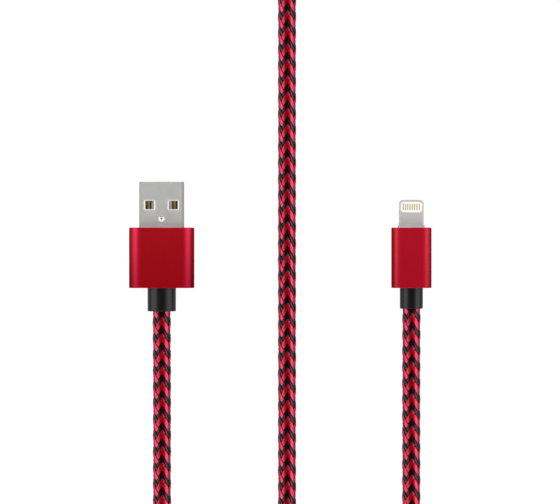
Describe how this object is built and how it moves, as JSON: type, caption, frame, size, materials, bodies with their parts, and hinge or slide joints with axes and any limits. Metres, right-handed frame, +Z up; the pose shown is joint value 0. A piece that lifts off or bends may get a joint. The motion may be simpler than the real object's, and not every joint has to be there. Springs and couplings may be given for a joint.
{
  "type": "charging cable",
  "caption": "Braided charging cable with a flat rectangular plug at one end and a thin reversible plug at the other, laid out straight with the spare cord tied in a hank.",
  "frame": {"origin": "middle of the larger plug's footprint, on the table", "axes": "+Y is the way the larger plug is pushed in, +Z is up from the table, +X is towards the thin plug"},
  "size_m": [0.1253, 0.1961, 0.0119],
  "materials": {
    "red_aluminium": "satin anodised, red",
    "bright_steel": "bright nickel plated",
    "satin_steel": "satin",
    "crimp_steel": "plain",
    "gold_plate": "gold plated",
    "solder": "bright",
    "black_collar": "satin",
    "white_insulator": "matt",
    "white_mould": "matt",
    "inner_jacket": "matt",
    "foil": "foil",
    "braid": "red and black nylon yarn",
    "tie_strap": "woven hook and loop",
    "red_wire": "matt",
    "white_wire": "matt",
    "green_wire": "matt",
    "black_wire": "matt",
    "green_board": "solder resist",
    "black_chip": "moulded",
    "capacitor": "matt"
  },
  "bodies": {
    "root": {"connector_back_contacts": "gold_plate", "connector_board": "green_board", "connector_capacitors": "capacitor", "connector_chip": "black_chip", "connector_collar": "black_collar", "connector_core_end": "foil", "connector_crimp": "crimp_steel", "connector_front_contacts": "gold_plate", "connector_housing": "red_aluminium", "connector_inner_mould": "white_mould", "connector_insert": "white_insulator", "connector_jacket_end": "inner_jacket", "connector_shield_can": "bright_steel", "connector_sleeve_end": "braid", "connector_solder_joints": "solder", "connector_tip_frame": "satin_steel", "connector_wire_black": "black_wire", "connector_wire_green": "green_wire", "connector_wire_red": "red_wire", "connector_wire_white": "white_wire", "cord_hank": "braid", "cord_lead": "braid", "cord_tail": "braid", "hank_tie": "tie_strap", "usb_collar": "black_collar", "usb_contact_data_minus": "gold_plate", "usb_contact_data_plus": "gold_plate", "usb_contact_ground": "gold_plate", "usb_contact_power": "gold_plate", "usb_core_end": "foil", "usb_crimp": "crimp_steel", "usb_housing": "red_aluminium", "usb_inner_mould": "white_mould", "usb_jacket_end": "inner_jacket", "usb_shell": "bright_steel", "usb_sleeve_end": "braid", "usb_solder_joints": "solder", "usb_tongue": "white_insulator", "usb_wire_black": "black_wire", "usb_wire_green": "green_wire", "usb_wire_red": "red_wire", "usb_wire_white": "white_wire"}
  },
  "joints": []
}
